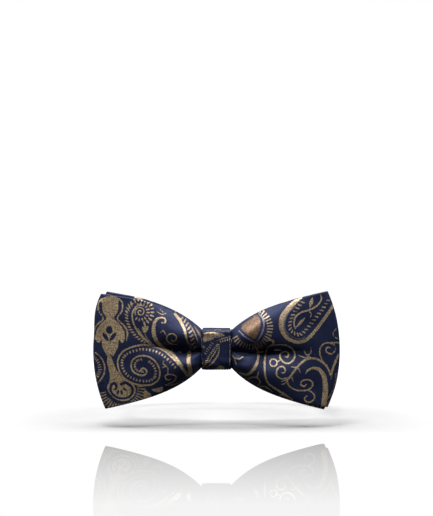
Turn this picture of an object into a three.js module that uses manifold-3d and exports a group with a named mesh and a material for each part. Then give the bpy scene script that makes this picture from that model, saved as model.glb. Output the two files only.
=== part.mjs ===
// Pre-tied bow tie with an adjustable neckband. Millimetres, +Z up, the bow faces -Y.
// The origin is the middle of the knot's back face, which rests on the wearer's collar.
import * as THREE from 'three';
import { mergeVertices } from 'three/addons/utils/BufferGeometryUtils.js';
import Module from 'manifold-3d';

// Bow outline, seen from the front.
const WAIST_HALF_LENGTH = 7.4;
const WAIST_HALF_HEIGHT = 8.2;
const CORNER_X = 54.7;
const END_BULGE = 5.8;
const FLARE_SLOPE = 0.2;
const FLARE_RISE = 11;
const FLARE_LENGTH = 13;

// Layers of each bow: the strip's face, its interlining and its inner side.
const LAYER_THICKNESS = 0.5;
const LAYER_PITCH = 0.8;
const FOLD_RADIUS = 4;

// Depths of the gathered stack, front to back.
const FRONT_BOW = { front: -12.9, back: -8.4, frontPuff: 4.8, backPuff: 0, frontDrift: 0, backDrift: 0.9 };
const REAR_BOW = { front: -8, back: -3.5, frontPuff: 0, backPuff: 0.8, frontDrift: 0.9, backDrift: 1.5 };
const DRIFT_LENGTH = 20;
const REAR_SHRINK = 0.985;
const REAR_TURN = THREE.MathUtils.degToRad(1.3);

// How far along a wing it stays puffed, how early it is fullest, and how much its edges fall away.
const PUFF_LENGTH = 50;
const PUFF_LEAN = 0.62;
const PUFF_CROWN = 0.7;

// Valley crease that runs from the knot into each wing.
const VALLEY_HALF_WIDTH = 0.2;
const VALLEY_LENGTH = 16;
const VALLEY_DEPTH = 0.85;

// Knot.
const KNOT_WIDTH = 14.4;
const KNOT_HALF_HEIGHT = 10;
const KNOT_DEPTH = 16;
const KNOT_WALL = 0.9;
const KNOT_FRONT_CORNER = 4;
const KNOT_BACK_CORNER = 2;
const KNOT_INNER_CORNER = 0.4;
const PAD = { back: -13.9, thickness: 0.8, halfHeight: 6.6, width: 12.4, corner: 0.35 };

// Thread.
const THREAD_RADIUS = 0.2;
const THREAD_SIDES = 5;
const THREAD_TURNS = 3;
const GATHER = { front: -13.4, back: -3, halfHeight: 8.65, corner: 0.5, length: 3 };
const KNOT_SEAM = { y: -4.5, length: 11, width: 1.4, count: 9 };
const BAR_TACK = { length: 9, width: 1.2, count: 8 };

// Neckband: half of its closed plan is a straight, a quarter arc, a straight side and a quarter arc.
const BAND_WIDTH = 12.7;
const BAND_MID_Z = -2.5;
const BAND_THICKNESS = 0.9;
const BAND_FRONT_Y = -1.9;
const BAND_STRAIGHT = 8;
const BAND_ARC = 44;
const BAND_SIDE = 46;
const HINGE_ANGLE = THREE.MathUtils.degToRad(30);
const HINGE_GAP = 0.8;

// Hardware.
const BAR_RADIUS = 0.6;
const WRAP_RADIUS = 1.35;
const TURN_STEPS = 8;
const CLEARANCE = 0.3;
const PLATE = 0.9;
const BAR_X = 13.4;
const SLIDER_Y = 66;
const SLIDER_HALF_LENGTH = 4.2;
const RAIL = 1.4;
const BAR_WIDTH = 1.2;
const INNER_BAR_DEPTH = 1;
const WINDOW_HALF_HEIGHT = BAND_WIDTH / 2 + CLEARANCE;
const HARDWARE_HALF_HEIGHT = WINDOW_HALF_HEIGHT + RAIL;

// Tabs that end the band: their length, the tack's distance from their end and how far they lean
// towards the run that they are sewn to.
const TAB_LENGTH = 9;
const TACK_INSET = 2;
const EYE_TAB_LEAN = 0.6;
const SLIDER_TAB = { lean: 0.5, leanAt: 3.4, stand: 0.1, standAt: 5 };

const COLOURS = {
  face: { color: 0x2a2b3f, roughness: 0.55, metalness: 0 },
  lining: { color: 0x1b1e3a, roughness: 0.6, metalness: 0 },
  interlining: { color: 0xcfcabd, roughness: 0.95, metalness: 0 },
  band: { color: 0x1b1e3a, roughness: 0.55, metalness: 0 },
  thread: { color: 0x1a1c30, roughness: 0.8, metalness: 0 },
  metal: { color: 0xb9b4a8, roughness: 0.3, metalness: 1 },
};

const wasm = await Module();
wasm.setup();

const group = new THREE.Group();
group.name = 'bow_tie';

function add(name, geometry, look) {
  const mesh = new THREE.Mesh(geometry, new THREE.MeshStandardMaterial(COLOURS[look]));
  mesh.name = name;
  group.add(mesh);
  return mesh;
}

function positionsOnly(geometry) {
  const bare = geometry.clone();
  bare.deleteAttribute('normal');
  bare.deleteAttribute('uv');
  return mergeVertices(bare);
}

function toManifold(geometry) {
  const merged = positionsOnly(geometry);
  const vertProperties = new Float32Array(merged.attributes.position.array);
  const triVerts = new Uint32Array(merged.index.array);
  return new wasm.Manifold(new wasm.Mesh({ numProp: 3, vertProperties, triVerts }));
}

function unite(geometries) {
  const solid = geometries.map(toManifold).reduce((whole, piece) => whole.add(piece));
  const mesh = solid.getMesh();
  const geometry = new THREE.BufferGeometry();
  geometry.setAttribute('position', new THREE.BufferAttribute(mesh.vertProperties, 3));
  geometry.setIndex(new THREE.BufferAttribute(mesh.triVerts, 1));
  geometry.computeVertexNormals();
  return geometry;
}

// ---------------------------------------------------------------- bows

const smooth = (t) => THREE.MathUtils.smoothstep(t, 0, 1);
const endX = (v) => CORNER_X + END_BULGE * (1 - v * v);
const beyondWaist = (x) => Math.max(0, Math.abs(x) - WAIST_HALF_LENGTH);

function halfHeight(x) {
  const t = beyondWaist(x);
  return WAIST_HALF_HEIGHT + FLARE_SLOPE * t + FLARE_RISE * (1 - Math.exp(-t / FLARE_LENGTH));
}

function puff(x, v) {
  const t = beyondWaist(x);
  const along = Math.sin(Math.PI * Math.min(1, t / PUFF_LENGTH) ** PUFF_LEAN);
  const across = 1 - PUFF_CROWN * v * v;
  const valley = Math.exp(-((v / VALLEY_HALF_WIDTH) ** 2) - (t / VALLEY_LENGTH) ** 2);
  return along * across * (1 - VALLEY_DEPTH * valley);
}

function panelY(bow, side, x, v) {
  const drift = smooth(beyondWaist(x) / DRIFT_LENGTH);
  if (side === 'front') return bow.front - bow.frontPuff * puff(x, v) + bow.frontDrift * drift;
  return bow.back + bow.backPuff * puff(x, v) + bow.backDrift * drift;
}

// Stations round the loop: the front panel, the right fold, the back panel and the left fold.
const PANEL_STEPS = [0, 0.14, 0.24, 0.4, 0.6, 0.82, 1];
const FOLD_ANGLES = [-40, 0, 40].map(THREE.MathUtils.degToRad);
const HEIGHT_STEPS = [-1, -0.6, -0.22, 0, 0.22, 0.6, 1];

function loopStations() {
  const across = [...PANEL_STEPS.slice(1).reverse().map((s) => -s), ...PANEL_STEPS];
  return [
    ...across.map((s) => ({ panel: 'front', s })),
    ...FOLD_ANGLES.map((angle) => ({ fold: 1, angle })),
    ...across.map((s) => ({ panel: 'back', s: -s })),
    ...FOLD_ANGLES.map((angle) => ({ fold: -1, angle: -angle })),
  ];
}

// A point of one bow, set inwards from the loop's outer surface by the given depth.
function loopPoint(bow, station, v, depth, target) {
  const reach = endX(v) - FOLD_RADIUS;
  if (station.panel) {
    const x = station.s * reach;
    const inward = station.panel === 'front' ? depth : -depth;
    return target.set(x, panelY(bow, station.panel, x, v) + inward, v * halfHeight(x));
  }
  const front = panelY(bow, 'front', reach, v);
  const back = panelY(bow, 'back', reach, v);
  const halfGap = (back - front) / 2 - depth;
  const x = reach + (FOLD_RADIUS - depth) * Math.cos(station.angle);
  const y = (front + back) / 2 + halfGap * Math.sin(station.angle);
  return target.set(station.fold * x, y, v * halfHeight(x));
}

// One closed layer: rows up its outer surface and down its inner one, repeated at every station.
// Cells on both surfaces are split along the same diagonal, so that nested layers keep their gap.
function bowLayer(bow, layer) {
  const stations = loopStations();
  const rows = HEIGHT_STEPS.length;
  const outer = layer * LAYER_PITCH;
  const points = [];
  const index = [];
  const corner = (i, j) => (i % stations.length) * rows * 2 + (j % (rows * 2));
  stations.forEach((station, i) => {
    for (let j = 0; j < rows * 2; j += 1) {
      const onOuter = j < rows;
      const v = HEIGHT_STEPS[onOuter ? j : rows * 2 - 1 - j];
      const depth = onOuter ? outer : outer + LAYER_THICKNESS;
      points.push(loopPoint(bow, station, v, depth, new THREE.Vector3()));
      const [a, b, c, d] = [corner(i, j), corner(i + 1, j), corner(i + 1, j + 1), corner(i, j + 1)];
      index.push(...(onOuter ? [a, b, d, b, c, d] : [a, b, c, a, c, d]));
    }
  });
  const geometry = new THREE.BufferGeometry().setFromPoints(points);
  geometry.setIndex(index);
  geometry.computeVertexNormals();
  return geometry;
}

function addBow(prefix, bow) {
  const looks = ['face', 'interlining', 'lining'];
  return looks.map((look, layer) => add(`${prefix}_${look}`, bowLayer(bow, layer), look));
}

addBow('front_bow', FRONT_BOW);
for (const mesh of addBow('rear_bow', REAR_BOW)) {
  mesh.rotation.y = REAR_TURN;
  mesh.scale.set(REAR_SHRINK, 1, REAR_SHRINK);
}

// ---------------------------------------------------------------- knot

// A rounded outline in (depth, height), with its own corner radius at the front and the back.
function roundedOutline(Outline, front, back, half, frontCorner, backCorner) {
  const outline = new Outline();
  outline.moveTo(back - backCorner, -half);
  outline.absarc(back - backCorner, -half + backCorner, backCorner, -Math.PI / 2, 0);
  outline.absarc(back - backCorner, half - backCorner, backCorner, 0, Math.PI / 2);
  outline.absarc(front + frontCorner, half - frontCorner, frontCorner, Math.PI / 2, Math.PI);
  outline.absarc(front + frontCorner, -half + frontCorner, frontCorner, Math.PI, Math.PI * 1.5);
  outline.closePath();
  return outline;
}

// Turns an extrusion of a (depth, height) outline so that it runs along X, centred on x = 0.
function alongX(geometry, length) {
  geometry.translate(0, 0, -length / 2);
  geometry.applyMatrix4(new THREE.Matrix4().makeBasis(
    new THREE.Vector3(0, 1, 0), new THREE.Vector3(0, 0, 1), new THREE.Vector3(1, 0, 0)));
  return geometry;
}

function knotWrap() {
  const outline = roundedOutline(
    THREE.Shape, -KNOT_DEPTH, 0, KNOT_HALF_HEIGHT, KNOT_FRONT_CORNER, KNOT_BACK_CORNER);
  outline.holes.push(roundedOutline(
    THREE.Path, -KNOT_DEPTH + KNOT_WALL, -KNOT_WALL, KNOT_HALF_HEIGHT - KNOT_WALL,
    KNOT_FRONT_CORNER - KNOT_WALL, KNOT_INNER_CORNER));
  return alongX(new THREE.ExtrudeGeometry(
    outline, { depth: KNOT_WIDTH, bevelEnabled: false, curveSegments: 6 }), KNOT_WIDTH);
}

function knotPad() {
  const front = PAD.back - PAD.thickness;
  const outline = roundedOutline(THREE.Shape, front, PAD.back, PAD.halfHeight, PAD.corner, PAD.corner);
  return alongX(new THREE.ExtrudeGeometry(
    outline, { depth: PAD.width, bevelEnabled: false, curveSegments: 2 }), PAD.width);
}

function threadSection() {
  const points = [];
  for (let i = 0; i < THREAD_SIDES; i += 1) {
    const angle = (2 * Math.PI * i) / THREAD_SIDES;
    points.push(new THREE.Vector2(Math.cos(angle), Math.sin(angle)).multiplyScalar(THREAD_RADIUS));
  }
  return new THREE.Shape(points);
}

function thread(points, steps) {
  const extrudePath = new THREE.CatmullRomCurve3(points, false, 'centripetal');
  return new THREE.ExtrudeGeometry(threadSection(), { steps, extrudePath, bevelEnabled: false });
}

function gatherThread() {
  const turn = roundedOutline(
    THREE.Shape, GATHER.front, GATHER.back, GATHER.halfHeight, GATHER.corner, GATHER.corner);
  const round = turn.getPoints(3).slice(0, -1);
  const points = [];
  for (let i = 0; i < THREAD_TURNS * round.length; i += 1) {
    const x = GATHER.length * (i / (THREAD_TURNS * round.length) - 0.5);
    const at = round[i % round.length];
    points.push(new THREE.Vector3(x, at.x, at.y));
  }
  return thread(points, points.length);
}

// A row of slanting stitches, centred on a point, made of one continuous thread.
function zigzag(centre, along, across, { length, width, count }) {
  const start = centre.clone().addScaledVector(along, -length / 2);
  const points = [];
  for (let i = 0; i <= count; i += 1) {
    const side = i % 2 === 0 ? -0.5 : 0.5;
    points.push(start.clone()
      .addScaledVector(along, (length * i) / count)
      .addScaledVector(across, width * side));
  }
  return thread(points, count * 3);
}

function knotSeam() {
  const centre = new THREE.Vector3(0, KNOT_SEAM.y, -KNOT_HALF_HEIGHT - CLEARANCE - THREAD_RADIUS);
  return zigzag(centre, new THREE.Vector3(1, 0, 0), new THREE.Vector3(0, 1, 0), KNOT_SEAM);
}

add('gather_thread', gatherThread(), 'thread');
add('knot_pad', knotPad(), 'interlining');
add('knot_wrap', knotWrap(), 'face');
add('knot_stitches', knotSeam(), 'thread');

// ---------------------------------------------------------------- neckband

const SIDE_X = BAND_STRAIGHT + BAND_ARC;
const FRONT_CENTRE_Y = BAND_FRONT_Y + BAND_ARC;
const REAR_CENTRE_Y = FRONT_CENTRE_Y + BAND_SIDE;

function arc(cx, cy, radius, from, to, steps) {
  const points = [];
  for (let i = 0; i <= steps; i += 1) {
    const angle = from + ((to - from) * i) / steps;
    points.push(new THREE.Vector2(cx + radius * Math.cos(angle), cy + radius * Math.sin(angle)));
  }
  return points;
}

// A strip of constant thickness that stands on edge along a plan path.
function strip(path, thickness) {
  const half = thickness / 2;
  const left = [];
  const right = [];
  path.forEach((point, i) => {
    const before = path[Math.max(0, i - 1)];
    const after = path[Math.min(path.length - 1, i + 1)];
    const normal = after.clone().sub(before).normalize().rotateAround(new THREE.Vector2(), Math.PI / 2);
    left.push(point.clone().addScaledVector(normal, half));
    right.push(point.clone().addScaledVector(normal, -half));
  });
  const shape = new THREE.Shape([...right, ...left.reverse()]);
  const geometry = new THREE.ExtrudeGeometry(shape, { depth: BAND_WIDTH, bevelEnabled: false });
  geometry.translate(0, 0, BAND_MID_Z - BAND_WIDTH / 2);
  return geometry;
}

const mirrored = (path) => path.map((p) => new THREE.Vector2(-p.x, p.y)).reverse();
const trimmed = (angle) => angle + HINGE_GAP / 2 / BAND_ARC;

function frontRun() {
  const end = -Math.PI / 2 + 2 * HINGE_ANGLE - trimmed(HINGE_ANGLE);
  const right = arc(BAND_STRAIGHT, FRONT_CENTRE_Y, BAND_ARC, -Math.PI / 2, end, 5);
  return [...mirrored(right), ...right];
}

// The right half from its hinge line to the turn round the bar at its rear end.
function sideRun() {
  const start = -Math.PI / 2 + trimmed(HINGE_ANGLE);
  return [
    ...arc(BAND_STRAIGHT, FRONT_CENTRE_Y, BAND_ARC, start, 0, 7),
    ...arc(BAND_STRAIGHT, REAR_CENTRE_Y, BAND_ARC, 0, rearAngle(), 9),
  ];
}

// Plan angle on the rear arc where the turn round a bar begins.
function rearAngle() {
  return Math.acos((BAR_X - BAND_STRAIGHT) / BAND_ARC);
}

function barCentre() {
  const angle = rearAngle();
  const reach = BAND_ARC + WRAP_RADIUS;
  return new THREE.Vector2(
    BAND_STRAIGHT + reach * Math.cos(angle), REAR_CENTRE_Y + reach * Math.sin(angle));
}

function turnRoundBar() {
  const centre = barCentre();
  const start = rearAngle() + Math.PI;
  return arc(centre.x, centre.y, WRAP_RADIUS, start, start - Math.PI, TURN_STEPS).slice(1);
}

// The run that comes back outside the right half, from beyond the turn to the slider's middle bar.
const RETURN_OFFSET = 2 * WRAP_RADIUS;
const SLIDER_BAR_X = SIDE_X + BAND_THICKNESS / 2 + CLEARANCE + BAND_THICKNESS + CLEARANCE + BAR_RADIUS;

function returnRun() {
  const gap = CLEARANCE / BAND_ARC;
  const outside = arc(
    BAND_STRAIGHT, REAR_CENTRE_Y, BAND_ARC + RETURN_OFFSET, rearAngle() - gap, 0, 9);
  const wrap = arc(SLIDER_BAR_X, SLIDER_Y, WRAP_RADIUS, 0, -Math.PI, TURN_STEPS);
  const tab = [
    new THREE.Vector2(SLIDER_BAR_X - WRAP_RADIUS + SLIDER_TAB.lean, SLIDER_Y + SLIDER_TAB.leanAt),
    new THREE.Vector2(SLIDER_BAR_X + SLIDER_TAB.stand, SLIDER_Y + SLIDER_TAB.standAt),
    new THREE.Vector2(SLIDER_BAR_X + SLIDER_TAB.stand, SLIDER_Y + TAB_LENGTH),
  ];
  return [...outside, ...wrap, ...tab];
}

// The tab that comes back outside the left half from the turn round the eye's bar.
function eyeTab() {
  const start = rearAngle();
  const end = start - TAB_LENGTH / BAND_ARC;
  const back = arc(BAND_STRAIGHT, REAR_CENTRE_Y, BAND_ARC + RETURN_OFFSET, start, end, 4);
  const leaning = back.slice(2);
  leaning.forEach((point, i) => {
    const outward = point.clone().sub(new THREE.Vector2(BAND_STRAIGHT, REAR_CENTRE_Y)).normalize();
    point.addScaledVector(outward, (-EYE_TAB_LEAN * (i + 1)) / leaning.length);
  });
  return back.slice(1);
}

add('neckband_front', strip(frontRun(), BAND_THICKNESS), 'band');
const leftRun = mirrored([...sideRun(), ...turnRoundBar(), ...eyeTab()]);
add('neckband_left', strip(leftRun, BAND_THICKNESS), 'band');
add('neckband_right', strip([...sideRun(), ...turnRoundBar()], BAND_THICKNESS), 'band');
add('neckband_return', strip(returnRun(), BAND_THICKNESS), 'band');

// ---------------------------------------------------------------- hardware

function rectangle(Outline, x0, z0, x1, z1) {
  const outline = new Outline();
  outline.moveTo(x0, z0);
  outline.lineTo(x1, z0);
  outline.lineTo(x1, z1);
  outline.lineTo(x0, z1);
  outline.closePath();
  return outline;
}

// Turns a plate drawn in (X, Z) and extruded along its thickness so that it stands upright.
function upright(geometry, thickness) {
  geometry.rotateX(Math.PI / 2);
  geometry.translate(0, thickness / 2, 0);
  return geometry;
}

const RING_LENGTH = 5.6;
const RING_EXTRA = 0.4;
const STRAP_SLOT = RING_LENGTH - 2 * BAR_RADIUS - RING_EXTRA;
const EYE_LENGTH = 10.4;
const EYE_SLOT = { bridge: 0.6, halfHeight: 3.6, rim: 1.3 };
const TONGUE = { width: 5, root: 0.6, reach: 10.6, curl: 1.3, thickness: 0.9, back: 5.4, spread: 0.2 };

function ringPlate(length, extraHole) {
  const half = HARDWARE_HALF_HEIGHT;
  const outline = rectangle(THREE.Shape, -BAR_RADIUS, -half, length, half);
  const window = rectangle(
    THREE.Path, BAR_RADIUS, -WINDOW_HALF_HEIGHT, BAR_RADIUS + STRAP_SLOT, WINDOW_HALF_HEIGHT);
  outline.holes.push(window);
  if (extraHole) outline.holes.push(extraHole);
  return upright(new THREE.ExtrudeGeometry(outline, { depth: PLATE, bevelEnabled: false }), PLATE);
}

function eyePlate() {
  const { bridge, halfHeight: half, rim } = EYE_SLOT;
  const slot = rectangle(THREE.Path, RING_LENGTH + bridge, -half, EYE_LENGTH - rim, half);
  return ringPlate(EYE_LENGTH, slot);
}

// The hook's tongue, drawn in plan: out along the plate, round the curl and back outside it.
function hookTongue() {
  const turn = TONGUE.reach - TONGUE.curl;
  const path = [
    new THREE.Vector2(RING_LENGTH - TONGUE.root, 0),
    ...arc(turn, TONGUE.curl, TONGUE.curl, -Math.PI / 2, Math.PI / 2, TURN_STEPS),
    new THREE.Vector2(TONGUE.back, 2 * TONGUE.curl + TONGUE.spread),
  ];
  const geometry = strip(path, TONGUE.thickness);
  geometry.translate(0, 0, -BAND_MID_Z);
  geometry.scale(1, 1, TONGUE.width / BAND_WIDTH);
  return geometry;
}

function placeAtBar(mesh, side) {
  const bar = barCentre();
  mesh.position.set(side * bar.x, bar.y, BAND_MID_Z);
  if (side > 0) mesh.rotation.z = Math.PI;
}

function box(x0, x1, y0, y1, z0, z1) {
  return new THREE.BoxGeometry(x1 - x0, y1 - y0, z1 - z0)
    .translate((x0 + x1) / 2, (y0 + y1) / 2, (z0 + z1) / 2);
}

// Two rails, a bar at each end behind the band, and the middle bar that holds the returning band.
function sliderFrame() {
  const length = SLIDER_HALF_LENGTH;
  const inner = WINDOW_HALF_HEIGHT;
  const outer = HARDWARE_HALF_HEIGHT;
  const barHalf = inner + RAIL / 2;
  const insideX = -BAND_THICKNESS / 2 - CLEARANCE - INNER_BAR_DEPTH;
  const outsideX = SLIDER_BAR_X - SIDE_X + BAR_RADIUS;
  return unite([
    box(insideX, outsideX, -length, length, inner, outer),
    box(insideX, outsideX, -length, length, -outer, -inner),
    box(insideX, insideX + INNER_BAR_DEPTH, -length, -length + BAR_WIDTH, -barHalf, barHalf),
    box(insideX, insideX + INNER_BAR_DEPTH, length - BAR_WIDTH, length, -barHalf, barHalf),
    box(outsideX - 2 * BAR_RADIUS, outsideX, -BAR_RADIUS, BAR_RADIUS, -barHalf, barHalf),
  ]);
}

placeAtBar(add('eye', eyePlate(), 'metal'), -1);
placeAtBar(add('hook', unite([ringPlate(RING_LENGTH), hookTongue()]), 'metal'), 1);
add('slider', sliderFrame(), 'metal').position.set(SIDE_X, SLIDER_Y, BAND_MID_Z);

// ---------------------------------------------------------------- bar tacks

function eyeTack() {
  const angle = rearAngle() - (TAB_LENGTH - TACK_INSET) / BAND_ARC;
  const out = new THREE.Vector3(-Math.cos(angle), Math.sin(angle), 0);
  const reach = BAND_ARC + RETURN_OFFSET + BAND_THICKNESS / 2 + CLEARANCE;
  const centre = new THREE.Vector3(-BAND_STRAIGHT, REAR_CENTRE_Y, BAND_MID_Z)
    .addScaledVector(out, reach);
  return zigzag(centre, new THREE.Vector3(0, 0, 1), new THREE.Vector3(out.y, -out.x, 0), BAR_TACK);
}

function sliderTack() {
  const x = SLIDER_BAR_X + WRAP_RADIUS + BAND_THICKNESS / 2 + CLEARANCE + THREAD_RADIUS;
  const centre = new THREE.Vector3(x, SLIDER_Y + TAB_LENGTH - TACK_INSET, BAND_MID_Z);
  return zigzag(centre, new THREE.Vector3(0, 0, 1), new THREE.Vector3(0, 1, 0), BAR_TACK);
}

add('eye_tab_stitches', eyeTack(), 'thread');
add('slider_tab_stitches', sliderTack(), 'thread');

export default group;
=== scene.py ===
import math

import bmesh
import bpy
import numpy as np
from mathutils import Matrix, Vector


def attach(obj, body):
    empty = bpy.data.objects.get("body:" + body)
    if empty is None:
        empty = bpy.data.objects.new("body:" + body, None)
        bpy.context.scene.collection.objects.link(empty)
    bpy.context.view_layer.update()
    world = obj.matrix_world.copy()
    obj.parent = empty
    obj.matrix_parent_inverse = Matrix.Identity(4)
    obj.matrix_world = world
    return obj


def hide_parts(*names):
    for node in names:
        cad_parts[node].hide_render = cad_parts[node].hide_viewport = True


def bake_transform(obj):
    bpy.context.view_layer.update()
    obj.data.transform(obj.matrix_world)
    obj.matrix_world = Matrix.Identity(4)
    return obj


# Looks of a pre-tied jacquard bow tie. Lengths in the tables and shape functions are millimetres,
# and every mesh is turned into metres once, when its object is made.

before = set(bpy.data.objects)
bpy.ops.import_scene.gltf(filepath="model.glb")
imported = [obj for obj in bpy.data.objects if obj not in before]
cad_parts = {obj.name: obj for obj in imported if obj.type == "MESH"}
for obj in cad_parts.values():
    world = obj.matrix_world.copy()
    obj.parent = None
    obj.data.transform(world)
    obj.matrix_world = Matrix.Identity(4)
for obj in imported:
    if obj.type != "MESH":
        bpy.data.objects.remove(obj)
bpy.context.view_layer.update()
MM = 0.001

# Bow outline and layers, as in the CAD model.
WAIST_HALF_LENGTH = 7.4
WAIST_HALF_HEIGHT = 8.2
CORNER_X = 54.7
END_BULGE = 5.8
FLARE_SLOPE = 0.2
FLARE_RISE = 11.0
FLARE_LENGTH = 13.0
FOLD_RADIUS = 4.0
DRIFT_LENGTH = 20.0
REAR_SHRINK = 0.985
REAR_TURN = math.radians(1.3)
SHOULDER = 1.0
FRONT_BOW = dict(front=-12.9, back=-8.4, front_puff=4.8, back_puff=0.3, front_drift=0.0, back_drift=0.9,
                 corner_out=2.4, corner_down=1.5, low_corner_up=0.9)
REAR_BOW = dict(front=-8.0, back=-3.5, front_puff=0.0, back_puff=1.0, front_drift=0.9, back_drift=1.5,
                corner_out=1.2, corner_down=1.3, low_corner_up=0.0)

# Widths of the valley beside the knot, of the hollow beyond it and of the stretch where the rolls
# open into one panel, for the left wing and the right.
WINGS = dict(valley=(1.15, 0.85), valley_from=(10, 14), valley_to=(24, 26),
             open_from=(11, 14), open_to=(30, 44),
             hollow=(0.26, 0.95), hollow_drop=(0.2, 2.4), hollow_above=(3.4, 3.0), hollow_below=(3.4, 6.5),
             gather_phase=(1.5, 0.4))

# Woven pattern: how far its distances reach, and the points in each span of a drawn line.
REACH = 1.2
SPAN = 7
TINY = 1e-12


# ---- small helpers

def smoothstep(low, high, x):
    t = np.clip((x - low) / (high - low), 0, 1)
    return t * t * (3 - 2 * t)


def smooth_curve(points, per_span=8):
    """A Catmull-Rom curve through the given rows, of any number of columns."""
    p = np.asarray(points, float)
    if len(p) < 3:
        t = np.linspace(0, 1, per_span + 1)[:, None]
        return p[0] * (1 - t) + p[-1] * t
    padded = np.vstack([2 * p[0] - p[1], p, 2 * p[-1] - p[-2]])
    t = np.linspace(0, 1, per_span, endpoint=False)[:, None]
    spans = []
    for a, b, c, d in zip(padded, padded[1:], padded[2:], padded[3:]):
        spans.append(0.5 * (2 * b + (c - a) * t + (2 * a - 5 * b + 4 * c - d) * t ** 2
                            + (3 * b - a - 3 * c + d) * t ** 3))
    return np.vstack(spans + [p[-1:]])


def lengths_along(path):
    """Distance from a path's start to each of its points."""
    return np.concatenate([[0], np.cumsum(np.linalg.norm(np.diff(path, axis=0), axis=1))])


def at_lengths(path, wanted):
    """Points of a plane path at the wanted distances from its start."""
    length = lengths_along(path)
    return np.stack([np.interp(wanted, length, path[:, i]) for i in (0, 1)], 1)


def resample(path, step):
    """Points a fixed distance apart along a path, with the unit direction at each."""
    at = np.arange(step / 2, lengths_along(path)[-1], step)
    ahead = at_lengths(path, at + 0.1) - at_lengths(path, at - 0.1)
    return at_lengths(path, at), ahead / np.maximum(np.linalg.norm(ahead, axis=1, keepdims=True), TINY)


# ---- woven pattern

class Weave:
    """Signed distance from the edge of the woven figures, positive inside, at a set of cloth points."""

    def __init__(self, points, *figures):
        self.points = points
        self.value = np.full(len(points), -REACH)
        for figure in figures:
            figure(self)

    def near(self, low, high):
        inside = np.all((self.points > low - REACH) & (self.points < high + REACH), axis=1)
        return np.flatnonzero(inside)

    def mark(self, ids, inside, cut=False):
        """Joins a figure to the others, or cuts it out of them."""
        join = np.minimum if cut else np.maximum
        self.value[ids] = join(self.value[ids], -inside if cut else inside)

    def segments(self, starts, ends, r0, r1, cut=False):
        """Round-ended segments, their radius going from r0 to r1."""
        for a, b, ra, rb in zip(starts, ends, r0, r1):
            r = max(ra, rb)
            ids = self.near(np.minimum(a, b) - r, np.maximum(a, b) + r)
            p = self.points[ids] - a
            d = b - a
            t = np.clip(p @ d / max(d @ d, TINY), 0, 1)
            self.mark(ids, ra + (rb - ra) * t - np.linalg.norm(p - t[:, None] * d, axis=1), cut)

    def stroke(self, points, width, start=None, end=None, cut=False):
        """A curved line through the points. width is one number, or one for each point."""
        widths = np.array(np.broadcast_to(np.asarray(width, float), (len(points),)))
        if start:
            widths[0], widths[-1] = start, end
        curve = smooth_curve(np.column_stack([points, widths]), SPAN)
        radius = np.maximum(curve[:, 2] / 2, 0.08)
        self.segments(curve[:-1, :2], curve[1:, :2], radius[:-1], radius[1:], cut)
        return curve[:, :2]

    def shape(self, points, per_span=6):
        """A filled closed outline."""
        wrapped = np.array([points[-1], *points, *points[:2]], float)
        outline = smooth_curve(wrapped, per_span)[per_span:-per_span - 1]
        ids = self.near(outline.min(0), outline.max(0))
        p = self.points[ids]
        nearest = np.full(len(ids), 1e9)
        odd = np.zeros(len(ids), bool)
        for a, b in zip(outline, np.roll(outline, -1, axis=0)):
            d = b - a
            t = np.clip((p - a) @ d / max(d @ d, TINY), 0, 1)
            nearest = np.minimum(nearest, np.linalg.norm(p - a - t[:, None] * d, axis=1))
            crosses = (a[1] > p[:, 1]) != (b[1] > p[:, 1])
            rise = d[1] if abs(d[1]) > TINY else TINY
            odd ^= crosses & (p[:, 0] < a[0] + (p[:, 1] - a[1]) * d[0] / rise)
        self.mark(ids, np.where(odd, nearest, -nearest))

    def leaf(self, tip, foot, width, cut=False):
        """A pointed leaf between two points."""
        tip, foot = np.asarray(tip, float), np.asarray(foot, float)
        points = np.vstack([tip, (tip + foot) / 2, foot])
        curve = smooth_curve(np.column_stack([points, [0.15, width, 0.15]]), 5)
        self.segments(curve[:-1, :2], curve[1:, :2], curve[:-1, 2] / 2, curve[1:, 2] / 2, cut)

    def dashes(self, path, step, low, high, width, slant=0.0):
        """A row of short strokes across a path, from low to high to its left."""
        points, along = resample(path, step)
        across = np.stack([-along[:, 1], along[:, 0]], 1)
        thick = np.full(len(points), width / 2)
        self.segments(points + across * low, points + across * high + along * slant, thick, thick * 0.8)

    def rays(self, centre, angles, low, high, width):
        """Short strokes that point away from a centre."""
        a = np.radians(angles)
        out = np.stack([np.cos(a), np.sin(a)], 1)
        thick = np.full(len(a), width / 2)
        self.segments(centre + out * low, centre + out * high, thick * 0.8, thick)


def spiral(centre, r0, r1, start, sweep, count=20):
    """Points of a spiral; angles in degrees, anticlockwise positive."""
    t = np.linspace(0, 1, count)
    angle = np.radians(start + sweep * t)
    r = r0 + (r1 - r0) * t
    return np.stack([centre[0] + r * np.cos(angle), centre[1] + r * np.sin(angle)], 1)


def vase(weave):
    """The vase at the far left: a waisted body with a three-petal flower cut out, and its outline."""
    axis = -51.9
    side = [(3.4, 25.8), (4, 21.8), (3.7, 18.7), (2, 15.5), (4.2, 13.2), (6.6, 9.9), (7.3, 6.6), (6.5, 3.9),
        (5.3, 3.7), (4.5, 5.4), (3.8, 1.6), (2.4, -1.4), (1.2, -3.1)]
    right = [(axis + w, z) for w, z in side]
    left = [(axis - w, z) for w, z in reversed(side)]
    weave.shape(right + [(axis, -1.9)] + left, per_span=4)
    weave.leaf((axis - 0.4, 11.7), (axis - 0.4, 7.9), 3.1, cut=True)
    for flip in (-1, 1):
        weave.leaf((axis - 0.4 + flip * 3.4, 8.6), (axis - 0.6 + flip * 0.3, 4.4), 1.9, cut=True)
        outline = [(4.4, 25), (5.9, 22.9), (5.7, 19.1), (3.5, 15.4), (6.4, 12.4), (8.4, 8.9), (8, 4.6)]
        weave.stroke([(axis + flip * w, z) for w, z in outline], [0.8, 0.8, 0.8, 0.8, 0.9, 1.1, 0.5])


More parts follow.
